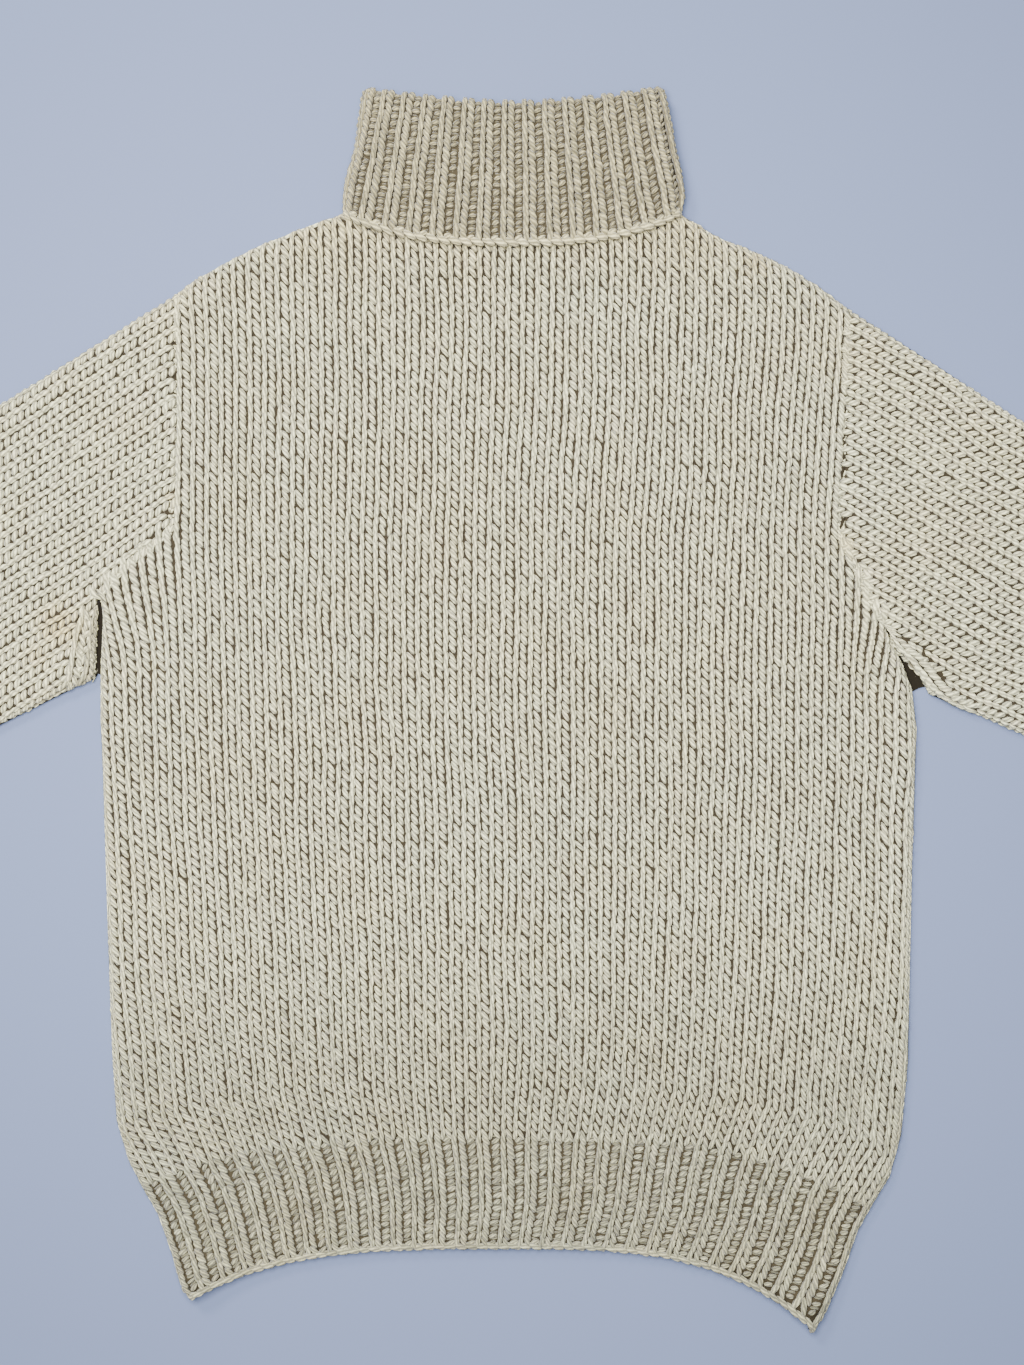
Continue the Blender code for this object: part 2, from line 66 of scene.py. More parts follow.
# The laid cloth
cloth = {
    "origin": (2.25, -17.05, 0),  # flat place of the part's origin
    "roll": 5.0,  # radius of a folded edge, half of the two layers
    "spare": 0.57,  # cloth that a folded edge takes up, in rolls
    "backing": 3.2,  # how far the ground of the cloth lies below the crests of its strands
    "ribBacking": 4.1,  # the same in the ribs
    "ground": 0.8,  # thickness of that ground
    "lowerDepth": 0.4,  # the lower layer lies on the surface itself, without strands
    "puff": 1.5,  # how far the cloth stands up beside a folded edge
    "puffReach": 24.0,
    "ditch": 1.9,  # depth of an armhole seam
    "ditchReach": 6.0,
    "neckLift": 5.2,  # the body rides over the collar's own back layers
    "cornerLift": 6.0,
    "cornerReach": 75.0,
    "bow": 3.3,  # how late a row of stitches bends down towards the sides
}
hemRows = [
    Row(-368, -210, -400, 197, -420),
    Row(-364, -215, -395, 203, -413),
    Row(-340, -222.5, -371, 217, -383),
    Row(-315, -231.5, -347, 226, -358),
    Row(-297, -242, -329, 235, -342),
]
lowerRows = [
    Row(-283, -251, -311, 247, -322),
    Row(-262, -258.5, -286, 254.5, -295),
    Row(-225, -261.5, -240, 259, -246),
    Row(-180, -263.5, -186, 260, -188),
    Row(-120, -265.5, -121, 261.5, -121),
    Row(-60, -267.5, -60, 263.5, -60),
    Row(-25, -269, -24, 264.5, -30),
    Row(0, -269, 3, 261.5, -4),
    Row(18, -268.5, 22, 255, 13),
    Row(38, -267.5, 42, 248, 27),
]
seamRows = [
    Row(50, -269, 56, 244, 36),
    Row(66, -254, 73, 233, 57),
    Row(82, -237, 87, 223, 77),
    Row(97, -223, 98, 214.5, 95),
    Row(130, -221, 131, 214.5, 128),
    Row(170, -219.5, 171, 216, 168),
    Row(210, -218.5, 211, 217.5, 206),
    Row(235, -218.5, 237, 219, 229),
    Row(248, -218.5, 254.5, 219.5, 244.5),
]
shoulderRows = [
    Row(258, -207, 263.5, 202, 258),
    Row(270, -186, 275.5, 180, 272),
    Row(281, -164, 286.5, 155, 283.5),
    Row(290, -140, 296, 130, 293),
    Row(297, -118, 303, 116, 301.5),
    Row(299, -103.5, 305, 104, 305),
    Row(305, -101.5, 322, 103, 322),
]
bodyRows = [hemRows[-1]] + lowerRows + seamRows + shoulderRows
allRows = hemRows[:-1] + bodyRows

# Soft ridges and hollows of the upper layer
folds = [
    Fold(-262, 66, -226, 98, 12, 3.4),  # over the left underarm seam
    Fold(-236, 44, -233, 10, 11, -3.8),
    Fold(-279.5, 40, -281.5, 4, 2.2, -3.4),  # crease beside the left fold under the arm
    Fold(250, 12, 256, -60, 6.5, 3.0),  # side of the body below the right underarm
    Fold(228, 52, 231, -8, 9, -4.4),
    Fold(256, 31, 269, 19, 2.2, -3.4),  # crease that runs out along the right sleeve
    Fold(269, 19, 280, 6, 2.2, -3.8),
    Fold(280, 6, 296, -6, 2.2, -3.6),
    Fold(296, -6, 308, -11, 2.2, -1.8),
    Fold(272, 54, 296, 0, 10, -2.6),
    Fold(-205, 240, -120, 280, 20, 1.0),  # shoulders
    Fold(120, 275, 200, 240, 20, 1.0),
    Fold(-150, -40, -70, 40, 46, 0.8),  # body
    Fold(60, -150, 150, -60, 50, -0.9),
    Fold(-180, -250, -60, -230, 30, 0.8),
    Fold(-470, 10, -440, 120, 15, -1.6),  # sleeves, further out
    Fold(-545, -80, -500, 20, 13, 1.8),
    Fold(-590, -60, -630, -90, 10, -1.4),
    Fold(430, 120, 470, 30, 16, 1.7),
    Fold(540, 0, 510, -95, 14, -1.6),
    Fold(600, -70, 640, -60, 10, 1.5),
]

sleeves = [
    Sleeve("left", -271.5, 3, 32.0, 545, 150, 22),
    Sleeve("right", 272, -8, 31.5, 545, 148, 22),
]
cuff = {
    "gather": 34.0,  # stretch of the sleeve that draws in to the cuff
    "width": 104.0,
    "length": 70.0,
    "ribs": 7,
    "rowPitch": 4.6,
    "halfWidths": [(0, 51.5), (7, 50.0), (35, 48.5), (64, 49.5), (70, 49.0)],  # from the sleeve on
}


def smooth(share):
    share = np.clip(share, 0, 1)
    return share * share * (3 - 2 * share)


def nearestOn(x, y, line):
    # Distance inward from a line whose inside is to the right of its travel, and the outward direction
    best = np.full(np.shape(x), np.inf)
    inward, outX, outY = best.copy(), best.copy(), best.copy()
    last = len(line) - 2
    for index, ((x0, y0), (x1, y1)) in enumerate(zip(line, line[1:])):
        runX, runY = x1 - x0, y1 - y0
        length = np.hypot(runX, runY)
        free = ((x - x0) * runX + (y - y0) * runY) / length**2
        along = np.clip(free, 0, 1)
        away = np.hypot(x - x0 - along * runX, y - y0 - along * runY)
        side = np.sign((y - y0) * runX - (x - x0) * runY)
        past = ((free < 0) & (index == 0)) | ((free > 1) & (index == last))
        side = np.where(past, -1, side)  # beyond its ends a line bounds nothing
        closer = away < best
        best = np.where(closer, away, best)
        inward = np.where(closer, -side * away, inward)
        outX, outY = np.where(closer, -runY / length, outX), np.where(closer, runX / length, outY)
    return inward, outX, outY


def nearestOf(x, y, lines):
    found = [nearestOn(x, y, line) for line in lines]
    pick = np.argmin([np.abs(each[0]) for each in found], axis=0)
    return [np.choose(pick, [each[index] for each in found]) for index in range(3)]


def leftLine(rows):
    return [(row.leftX, row.leftY) for row in rows]


def rightLine(rows):
    return [(row.rightX, row.rightY) for row in rows][::-1]


leftSeam, rightSeam = leftLine(seamRows), rightLine(seamRows)
bodyFolds = [  # carried on past the hem, the shoulder tips and the neck, where strands still turn round them
    [(-198, -430)] + leftLine(hemRows + lowerRows + seamRows[:1]),
    [(-235, 241.5)] + leftLine(seamRows[-1:] + shoulderRows) + [(-101.5, 370)],
    [(103, 370)] + rightLine(seamRows[-1:] + shoulderRows) + [(237, 231)],
    rightLine(hemRows + lowerRows + seamRows[:1]) + [(188, -450)],
]


def rowEnds(middle):
    at, *sides = zip(*allRows)
    return [np.interp(middle, at, side) for side in sides]


def rowHeight(middle, x):
    leftX, leftY, rightX, rightY = rowEnds(middle)
    centre = (leftX + rightX) / 2
    share = (x - centre) / (rightX - centre)
    ends = np.where(share < 0, leftY, rightY)
    return middle + (ends - middle) * np.minimum(np.abs(share), 1.05) ** cloth["bow"]


collar = {
    "half": 10.2,  # half of the height of its four layers
    "inside": 0.5,
    "edgeMiddle": 284.7,  # flat heights of the turned-down edge and of the fold on top
    "edgeSides": 304.0,
    "topMiddle": 376.7,
    "topSides": 386.4,
    "ribs": 9,  # to each side of the middle one
    "ribLow": 15.3,  # pitch of the ribs at the edge and at the top
    "ribHigh": 12.8,
    "rowPitch": 4.7,
    "depth": 90.0,  # flat height between its edge and its fold
    "cut": 175.0,  # of the whole piece, before it is turned down
}
collarSides = [
    Side(0.0, 110.5, 110.5),
    Side(0.15, 111.0, 113.0),
    Side(0.3, 109.0, 111.5),
    Side(0.5, 104.0, 107.5),
    Side(0.75, 100.8, 104.0),
    Side(1.0, 97.5, 100.0),
]


def collarEdge(x):
    across = np.minimum(np.abs(x) / collarSides[0].left, 1)
    return collar["edgeMiddle"] + (collar["edgeSides"] - collar["edgeMiddle"]) * across**2.8


def collarTop(x):
    across = np.minimum(np.abs(x) / collarSides[-1].right, 1)
    return collar["topMiddle"] + (collar["topSides"] - collar["topMiddle"]) * across**1.6


def neckLift(x, y):
    up = smooth((y - collarEdge(x) + 34) / 30)
    return cloth["neckLift"] * up * smooth((150 - np.abs(x)) / 38)


def cornerLift(x, y):
    low = hemRows[0]
    near = np.minimum(np.hypot(x - low.leftX, y - low.leftY), np.hypot(x - low.rightX, y - low.rightY))
    return cloth["cornerLift"] * np.clip(1 - near / cloth["cornerReach"], 0, 1) ** 2


def relief(x, y):
    total = np.zeros(np.shape(x))
    for fold in folds:
        away = np.abs(nearestOn(x, y, [(fold.x0, fold.y0), (fold.x1, fold.y1)])[0])
        total += fold.height * np.exp(-((away / fold.width) ** 2))
    return total


def laidOut(x, y, above, lines, layer=1):
    # The point of the laid sweater for a flat place that lies this far above the strands' crests
    roll = cloth["roll"]
    inward, outX, outY = nearestOf(x, y, lines)
    turn = np.clip(inward / roll + cloth["spare"], -quarter, quarter)
    lift = neckLift(x, y)
    low = lift + cornerLift(x, y)
    loose = 1 - lift / cloth["neckLift"]
    seam = np.minimum(np.abs(nearestOn(x, y, leftSeam)[0]), np.abs(nearestOn(x, y, rightSeam)[0]))
    height = low + 2 * roll
    height += loose * cloth["puff"] * np.sin(np.pi * np.clip(inward / cloth["puffReach"], 0, 1)) ** 2
    height += loose * relief(x, y)
    height -= cloth["ditch"] * (1 - np.minimum(seam / cloth["ditchReach"], 1)) ** 2
    moved = np.where(turn < quarter, inward - roll + (roll + above) * np.cos(turn), 0)
    rise = np.where(turn > 0, height - low - roll + above, roll + above) if layer > 0 else -(roll + above)
    z = low + roll + rise * np.sin(turn)
    return np.stack([x + outX * moved, y + outY * moved, z], axis=-1)


def collarSide(share):
    at, left, right = zip(*collarSides)
    return np.interp(share, at, left), np.interp(share, at, right)


def laidCollar(x, share, above):
    # The point of the collar for a flat place, given by x and the share of its height from the edge up
    half = collar["half"]
    radius = (half - collar["inside"]) / 2
    left, right = collarSide(share)
    edge, top = collarEdge(x), collarTop(x)
    below = (1 - share) * (top - edge)
    bend = np.clip(below / radius + cloth["spare"], -quarter, quarter)
    y = top - np.where(bend < quarter, radius - (radius + above) * np.cos(bend), below)
    out = half - radius + (radius + above) * np.sin(bend)
    inward = np.minimum(x + left, right - x)
    turn = np.clip(inward / half + cloth["spare"], -quarter, quarter)
    side = np.where(x + left < right - x, -1, 1)
    outX = x + side * np.where(turn < quarter, inward - half + out * np.cos(turn), 0)
    return np.stack([outX, y, half + out * np.sin(turn)], axis=-1)


# Place, reach and depth of the yellowed spots
stains = [
    (-296, 37, 13, 0.9),
    (-310, 18, 10, 0.5),
    (158, 273, 11, 0.7),
    (-222, 120, 7, 0.5),
    (218, 90, 9, 0.5),
]


def warmth(x, y):
    # How far the wool is yellowed: around the neck, and in a few small spots. The slight warming from the hem
    # up to the chest is painted light, cooler lower down
    total = 0.08 * smooth((y + 60) / 140) + 0.55 * smooth((y - 245) / 60) * smooth((190 - np.abs(x)) / 80)
    for spotX, spotY, reach, depth in stains:
        total = np.maximum(total, depth * np.exp(-((x - spotX) ** 2 + (y - spotY) ** 2) / reach**2))
    return total


def paintedHemShade(y):
    # Painted shade on the strands towards the hem, where the light falls off
    return 0.32 * smooth((-120 - y) / 170)


def softer(y):
    # How much of the shade between strands is left towards the hem, where the light falls in
    return 1 - 0.3 * smooth((-60 - y) / 190)


def drift(seed, across, along, reach):
    # A slow wander between -1 and 1 over the cloth
    knots = np.random.default_rng(seed).uniform(-1, 1, (80, 80))
    u, v = across / reach + 40, along / reach + 40
    i, j = np.floor(u).astype(int) % 79, np.floor(v).astype(int) % 79
    fu, fv = smooth(u - np.floor(u)), smooth(v - np.floor(v))
    low = knots[i, j] * (1 - fu) + knots[i + 1, j] * fu
    return low * (1 - fv) + (knots[i, j + 1] * (1 - fu) + knots[i + 1, j + 1] * fu) * fv


# Wool
wool = {
    "light": (0.93, 0.89, 0.54),
    "warm": (0.86, 0.70, 0.31),
    "grey": (0.85, 0.875, 0.58),
    "pink": (0.90, 0.79, 0.52),
    "shade": (0.10, 0.083, 0.048),  # painted shade where strands touch, on their sides and at their ends
    # The two ground colours are near black: painted shade where the gaps between strands show the cloth's
    # ground
    "ground": (0.04, 0.032, 0.02),
    "ribGroundShade": (0.06, 0.049, 0.029),
    "inner": (0.016, 0.013, 0.009),  # near black: painted shade seen through the gaps under the arms
    "plies": 6.0,  # seen round a strand
    "wind": 0.15,  # how far they wind in a millimetre
    "legPitch": 0.00458,  # of the undersides' pattern, in metres
    "rowPitch": 0.00555,
}


def newMaterial(name):
    made = bpy.data.materials.new(name)
    made.use_nodes = True
    return made, made.node_tree, made.node_tree.nodes["Principled BSDF"]


def feed(node, inputs):
    for name, value in inputs.items():
        if isinstance(value, bpy.types.NodeSocket):
            node.id_data.links.new(value, node.inputs[name])
        else:
            node.inputs[name].default_value = (*value, 1) if isinstance(value, tuple) else value
    return node


def newNode(tree, kind, inputs, **settings):
    node = tree.nodes.new("ShaderNode" + kind)
    for name, value in settings.items():
        setattr(node, name, value)
    return feed(node, inputs)


def maths(operation, *values):
    return newNode(values[0].id_data, "Math", dict(enumerate(values)), operation=operation).outputs[0]


def times(first, second):
    return maths("MULTIPLY", first, second)


def plus(first, second):
    return maths("ADD", first, second)


def noise(tree, scale, detail):
    place = newNode(tree, "TexCoord", {}).outputs["Object"]
    return newNode(tree, "TexNoise", {"Scale": scale, "Detail": detail, "Vector": place}).outputs["Fac"]


def attribute(tree, name):
    return newNode(tree, "Attribute", {}, attribute_name=name).outputs["Fac"]


def mixColours(tree, factor, first, second, blend="MIX"):
    inputs = {0: factor, 6: first, 7: second}  # the sockets for colours
    return newNode(tree, "Mix", inputs, data_type="RGBA", blend_type=blend).outputs[2]


def spread(value, low, high):
    # From 0 to 1 between two levels
    inputs = {"Value": value, "From Min": low, "From Max": high}
    return newNode(value.id_data, "MapRange", inputs, interpolation_type="SMOOTHSTEP").outputs["Result"]


def finished(shader, colour, height, distance, strength, values):
    # The colour, the bump and the plain values of a finish
    inputs = {"Height": height, "Distance": distance, "Strength": strength}
    bump = newNode(shader.id_data, "Bump", inputs)
    feed(shader, {"Base Color": colour, "Normal": bump.outputs[0], **values})


def strandWool():
    made, tree, shader = newMaterial("strand_wool")
    yarn = newNode(tree, "UVMap", {}, uv_map="yarn")
    yarn = newNode(tree, "SeparateXYZ", {0: yarn.outputs[0]}).outputs
    tone = attribute(tree, "tone")
    broad = spread(noise(tree, 5.0, 3), 0.35, 0.7)
    patch = spread(noise(tree, 24.0, 3), 0.4, 0.75)
    colour = mixColours(tree, times(broad, 0.5), wool["light"], wool["grey"])
    colour = mixColours(tree, times(patch, 0.28), colour, wool["warm"])
    hue = maths("FRACT", times(tone, 7.3))
    colour = mixColours(tree, times(spread(hue, 0.6, 1.0), 0.4), colour, wool["pink"])
    colour = mixColours(tree, attribute(tree, "warm"), colour, wool["warm"])
    # Plies wind round the strand, with loose fibres over them. Their grooves are painted shade and their
    # crests painted highlights, besides the bump
    fibres = noise(tree, 900.0, 4)
    wind = plus(times(yarn["Y"], wool["plies"]), times(yarn["X"], wool["wind"]))
    wind = plus(wind, times(fibres, 0.5))
    wave = maths("SINE", times(wind, 2 * np.pi))
    pale = maths("MULTIPLY_ADD", tone, 0.7, 0.34)
    shade = times(pale, maths("MULTIPLY_ADD", wave, 0.4, 0.86))
    grey = newNode(tree, "CombineColor", {0: shade, 1: shade, 2: shade})
    colour = mixColours(tree, 1.0, colour, grey.outputs[0], "MULTIPLY")
    # Painted shade: the sides and ends of each strand are darkened towards the shade colour
    edge = times(spread(attribute(tree, "deep"), 0.2, 0.8), 0.95)
    colour = mixColours(tree, edge, colour, wool["shade"])
    values = {"Roughness": 0.9, "Specular IOR Level": 0.25, "Sheen Weight": 0.35, "Sheen Roughness": 0.5}
    values["Sheen Tint"] = (1.0, 0.97, 0.9)
    finished(shader, colour, plus(times(wave, 0.5), fibres), 0.0006, 0.8, values)
    return made


# A near-black finish with random patches: painted shade for what shows through gaps
def shadeWool(name, base):
    made, tree, shader = newMaterial(name)
    patch = noise(tree, 260.0, 3)
    colour = mixColours(tree, patch, base, tuple(part * 0.72 for part in base))
    finished(shader, colour, patch, 0.0006, 1.0, {"Roughness": 0.95, "Specular IOR Level": 0.05})
    return made


def undersideWool():
    # Plain wool with rows of knitting in its bump, for the layer that lies on the surface. Its colour has
    # painted shade between the columns of stitches
    made, tree, shader = newMaterial("underside_wool")
    place = newNode(tree, "TexCoord", {}).outputs["Object"]
    place = newNode(tree, "SeparateXYZ", {0: place}).outputs
    wale = maths("SINE", times(place["X"], np.pi / wool["legPitch"]))
    column = maths("ABSOLUTE", wale)
    run = plus(times(place["Y"], 2 * np.pi / wool["rowPitch"]), times(wale, 0.9))
    height = plus(column, times(maths("SINE", run), 0.35))
    height = plus(height, times(noise(tree, 700.0, 3), 0.3))
    colour = mixColours(tree, spread(column, 0.0, 0.5), wool["shade"], wool["light"])
    finished(shader, colour, height, 0.0016, 1.0, {"Roughness": 0.92, "Sheen Weight": 0.3})
    return made


strandFinish = strandWool()
innerShadeFinish = shadeWool("inner_shade_wool", wool["inner"])
Layer = namedtuple("Layer", "side depth finish")
# The grounds under the strands carry the painted shade of the gaps
plainLayer = Layer(1, cloth["backing"], shadeWool("ground_shade_wool", wool["ground"]))
ribLayer = Layer(1, cloth["ribBacking"], shadeWool("rib_ground_shade_wool", wool["ribGroundShade"]))
lowerLayer = Layer(-1, cloth["lowerDepth"], undersideWool())

# Strands of yarn
strand = {
    "rings": (-0.62, 0.0, 0.62),
    "corners": (130, 50, -15, -90, -165),  # degrees round a strand, which is flattened at its crest
    "turnFull": 0.55,
}
# A stitch has a smooth leg, then one whose plies show. Across, long and wide are shares of the stitch,
# lean is in degrees, and thickness and heights are in millimetres
# The last value, tips, is how much painted shade darkens the ends of a leg
Leg = namedtuple("Leg", "across lean long wide thick level rise sink tips")
legs = (
    Leg(-0.255, -8.0, 0.88, 0.212, 2.1, -2.1, 0.55, 0.8, 0.4),
    Leg(0.245, 28.0, 0.86, 0.208, 2.1, -2.0, 0.50, 0.9, 0.4),
)
sleeveLegs = (
    Leg(-0.25, -12.0, 0.78, 0.250, 2.1, -2.0, 0.60, 1.4, 0.5),
    Leg(0.25, 34.0, 0.80, 0.240, 2.1, -2.0, 0.50, 1.3, 0.45),
)
ribLegs = (
    Leg(-0.25, -6.0, 1.0, 0.215, 2.2, -2.2, 0.50, 0.7, 0.35),
    Leg(0.24, 28.0, 0.98, 0.205, 2.1, -2.1, 0.55, 0.9, 0.4),
)
collarLegs = (
    Leg(-0.245, -5.0, 1.0, 0.225, 2.4, -2.0, 0.60, 0.9, 0.45),
    Leg(0.235, 30.0, 0.88, 0.230, 2.3, -2.0, 0.60, 1.3, 0.55),
)
stripLegs = (  # they lie over the stitches beside them
    Leg(-0.26, -5.0, 1.0, 0.25, 2.1, -0.9, 0.50, 0.6, 0.2),
    Leg(0.26, 27.0, 0.92, 0.24, 2.1, -1.1, 0.50, 0.9, 0.4),
)
# The purl columns between ribs have a high bump and a low one to a row. The last value is painted shade, most
# on the low bump deep in the valley
Bump = namedtuple("Bump", "across shift long wide level lean dim")
hemBumps = (
    Bump(0.4, 0.0, 3.2, 1.65, -2.7, 22, 0.0),
    Bump(0.5, 0.5, 3.4, 1.1, -4.1, 10, 0.22),
)
collarBumps = (
    Bump(0.2, 0.0, 2.7, 1.6, -3.3, 20, 0.08),
    Bump(0.2, 0.5, 2.9, 1.1, -4.5, 4, 0.4),
)


def strandPattern():
    # Points and faces of one strand, pointed at both ends, and the faces' places along and round it
    angles = np.radians(strand["corners"])
    rings, sides = strand["rings"], len(angles)
    points = [(0, -1, 0)]
    for at in rings:
        size = (1 - abs(at) ** 2.2) ** strand["turnFull"]
        points += [(np.cos(angle) * size, at, np.sin(angle) * size) for angle in angles]
    points.append((0, 1, 0))
    last = 1 + (len(rings) - 1) * sides
    faces, marks = [], []
    for side in range(sides):
        beside = (side + 1) % sides
        start, end = side / sides, (side + 1) / sides
        faces.append((0, 1 + side, 1 + beside))
        marks.append(((-1, (start + end) / 2), (rings[0], start), (rings[0], end)))
        for ring, (here, ahead) in enumerate(zip(rings, rings[1:])):
            low, high = 1 + ring * sides, 1 + (ring + 1) * sides
            faces.append((low + side, high + side, high + beside, low + beside))
            marks.append(((here, start), (ahead, start), (ahead, end), (here, end)))
        faces.append((last + side, len(points) - 1, last + beside))
        marks.append(((rings[-1], start), (1, (start + end) / 2), (rings[-1], end)))
    return np.array(points, float), faces, np.array([mark for face in marks for mark in face])


patternPoints, patternFaces, patternMarks = strandPattern()
# How far painted shade darkens each point of a strand: its sides and underside, then its ends
patternSideShade = np.clip(1 - patternPoints[:, 2], 0, 1) * 0.8 * (np.abs(patternPoints[:, 1]) < 0.99)
patternTipShade = np.abs(patternPoints[:, 1]) ** 3


def inMetres(points):
    return (np.asarray(points).reshape(-1, 3) - cloth["origin"]) * mm


def addPiece(name, mesh, finish):
    mesh.shade_smooth()
    mesh.materials.append(finish)
    made = bpy.data.objects.new(name, mesh)
    bpy.context.scene.collection.objects.link(made)
    return made


def addMesh(name, points, faces, finish):
    mesh = bpy.data.meshes.new(name)
    mesh.from_pydata(inMetres(points).tolist(), [], faces)
    mesh.update()
    return addPiece(name, mesh, finish)


# The mean tone of a piece is its own tone with painted light and shade of the piece as a whole
def addStrands(name, pieces, lines, palenessAndShade=0.53, warmY=None, shaded=1.0):
    # All the strands of a piece as one mesh, rolled round these folds, or laid on the collar without them
    whole = [np.concatenate(each)[:, None] for each in zip(*pieces)]
    x, y, angle, long, wide, thick, level, rise, sink, tips, dim = whole
    count, size = len(x), len(patternPoints)
    across, along, up = patternPoints.T
    flatX = (x + np.cos(angle) * along * long + np.sin(angle) * across * wide).ravel()
    flatY = (y + np.sin(angle) * along * long - np.cos(angle) * across * wide).ravel()
    above = (level + up * thick + rise * along - sink * along**2).ravel()
    if lines:
        points = laidOut(flatX, flatY, above, lines)
    else:
        points = laidCollar(flatX, flatY / collar["depth"], above)
    points[:, 2] = np.maximum(points[:, 2], 0.05)
    corners = np.concatenate(patternFaces)
    totals = np.array([len(face) for face in patternFaces])
    order = np.arange(count)[:, None]
    mesh = bpy.data.meshes.new(name)
    mesh.vertices.add(count * size)
    mesh.loops.add(count * len(corners))
    mesh.polygons.add(count * len(totals))
    mesh.vertices.foreach_set("co", inMetres(points).astype(np.float32).ravel())
    mesh.loops.foreach_set("vertex_index", (corners + order * size).astype(np.int32).ravel())
    starts = np.append(0, np.cumsum(totals)[:-1]) + order * len(corners)
    mesh.polygons.foreach_set("loop_start", starts.astype(np.int32).ravel())
    mesh.update(calc_edges=True)
    mesh.validate()
    # One map winds the plies, and the other gives each strand its own cell
    chance = np.random.default_rng(len(name) * 7919 + count)
    markX, markY = patternMarks.T
    yarnX = markX * long + chance.uniform(0, 40, count)[:, None]
    yarnMap = np.stack([yarnX, np.tile(markY, (count, 1))], axis=-1)
    cells = int(np.ceil(np.sqrt(count)))
    cell = np.stack([order % cells, order // cells], axis=-1)
    bakeMap = (cell + 0.06 + 0.88 * np.stack([markY, markX / 2 + 0.5], axis=-1)) / cells
    for mapName, values in (("OFBake", bakeMap), ("yarn", yarnMap)):
        layer = mesh.uv_layers.new(name=mapName)
        layer.uv.foreach_set("vector", values.astype(np.float32).ravel())
    # Painted shade: strands in shade get a lower tone, and a browner warm colour
    tone = chance.normal(palenessAndShade, 0.085, count)[:, None] - paintedHemShade(y) - dim
    # Painted shade on the sides and ends of the strands
    deep = shaded * softer(y) * (patternSideShade + tips * patternTipShade)
    warm = warmth(x, y if warmY is None else warmY) + dim * 0.5
    for mark, values in (("tone", tone), ("deep", deep), ("warm", warm)):
        values = np.broadcast_to(np.clip(values, -0.3, 1.1), (count, size))
        marked = mesh.attributes.new(mark, "FLOAT", "POINT")
        marked.data.foreach_set("value", values.astype(np.float32).ravel())
    return addPiece(name, mesh, strandFinish)


def wobbler(seed, shape):
    chance = np.random.default_rng(seed)

    def wobble(size):
        return chance.normal(0, size, shape)

    return wobble


def kept(keep, *values):
    return [np.broadcast_to(value, keep.shape)[keep] for value in values]


def knitted(x, y, keep, seed, narrow=1.0, sizes=legs, dim=0.0):
    # Both legs of each stitch on a grid of stitches, rows by wales, with the rows rising towards the neck
    wobble = wobbler(seed, x.shape)
    upX, upY = np.gradient(x, axis=0), np.gradient(y, axis=0)
    sideX, sideY = np.gradient(x, axis=1) * narrow, np.gradient(y, axis=1) * narrow
    rowPitch = np.hypot(upX, upY)
    walePitch = np.hypot(sideX, sideY)
    found = []
    for leg in sizes:
        legX = x + sideX * leg.across + wobble(0.16)
        legY = y + sideY * leg.across + wobble(0.22)
        lean = np.radians(leg.lean + wobble(3.0)) * -np.sign(upX * sideY - upY * sideX)
        leanX = upX / rowPitch * np.cos(lean) - sideX / walePitch * np.sin(lean)
        leanY = upY / rowPitch * np.cos(lean) - sideY / walePitch * np.sin(lean)
        angle = np.arctan2(leanY, leanX)
        long = leg.long * rowPitch * (1 + wobble(0.05))
        wide = leg.wide * walePitch * (1 + wobble(0.05))
        thick = leg.thick * (1 + wobble(0.04))
        level = leg.level + wobble(0.14)
        rise = leg.rise + wobble(0.1)
        found.append(kept(keep, legX, legY, angle, long, wide, thick, level, rise, leg.sink, leg.tips, dim))
    return found


def purled(x, y, keep, seed, bumps=hemBumps):
    wobble = wobbler(seed, x.shape)
    upX, upY = np.gradient(x, axis=0), np.gradient(y, axis=0)
    found = []
    for bump in bumps:
        angle = np.arctan2(upY, upX) - quarter + np.radians(bump.lean + wobble(9))
        bumpX = x + bump.shift * upX + bump.across + wobble(0.25)
        bumpY = y + bump.shift * upY + wobble(0.25)
        long = bump.long * (1 + wobble(0.08))
        wide = bump.wide * (1 + wobble(0.1))
        level = bump.level + wobble(0.2)
        found.append(kept(keep, bumpX, bumpY, angle, long, wide, 1.5, level, 0.0, 0.8, 0.5, bump.dim))
    return found


def spaced(path, first, pitch, past=0):
    # Places at an even pitch along a line, from its first end to this far past its last
    run = np.append(0, np.cumsum(np.hypot(*np.diff(path[:, :2], axis=0).T)))
    at = np.arange(first, run[-1] + past, pitch)
    return [np.interp(at, run, column) for column in path.T]


def rope(x, y, angle, lean, long, wide, level):
    # A row of slanting strands along an edge
    wobble = wobbler(len(x), x.shape)
    x, y = x + wobble(0.15), y + wobble(0.1)
    angle = angle + np.radians(lean + wobble(2.5))
    longer, wider = long * (1 + wobble(0.05)), wide * (1 + wobble(0.05))
    level = level + wobble(0.1)
    rise = -0.5 * np.sign(lean)
    return [kept(np.ones(x.shape, bool), x, y, angle, longer, wider, wide, level, rise, 0.9, 0.4, 0.0)]


def wallFaces(rows, columns, around):
    # Faces of a closed wall between an outer and an inner grid, with the outer grid first
    steps = columns if around else columns - 1
    half = rows * columns
    faces = []
    for row in range(rows - 1):
        for column in range(steps):
            corner, beside = row * columns + column, row * columns + (column + 1) % columns
            quad = np.array((corner, beside, beside + columns, corner + columns))
            faces += [quad.tolist(), (half + quad[[0, 3, 2, 1]]).tolist()]
    edges = []
    for row, turned in ((0, True), (rows - 1, False)):
        start = row * columns
        edges += [(start + column, start + (column + 1) % columns, turned) for column in range(steps)]
    if not around:
        for start, turned in ((0, False), (columns - 1, True)):
            edges += [(start + row * columns, start + (row + 1) * columns, turned) for row in range(rows - 1)]
    for a, b, turned in edges:
        faces.append((a, a + half, b + half, b) if turned else (a, b, b + half, a + half))
    return faces


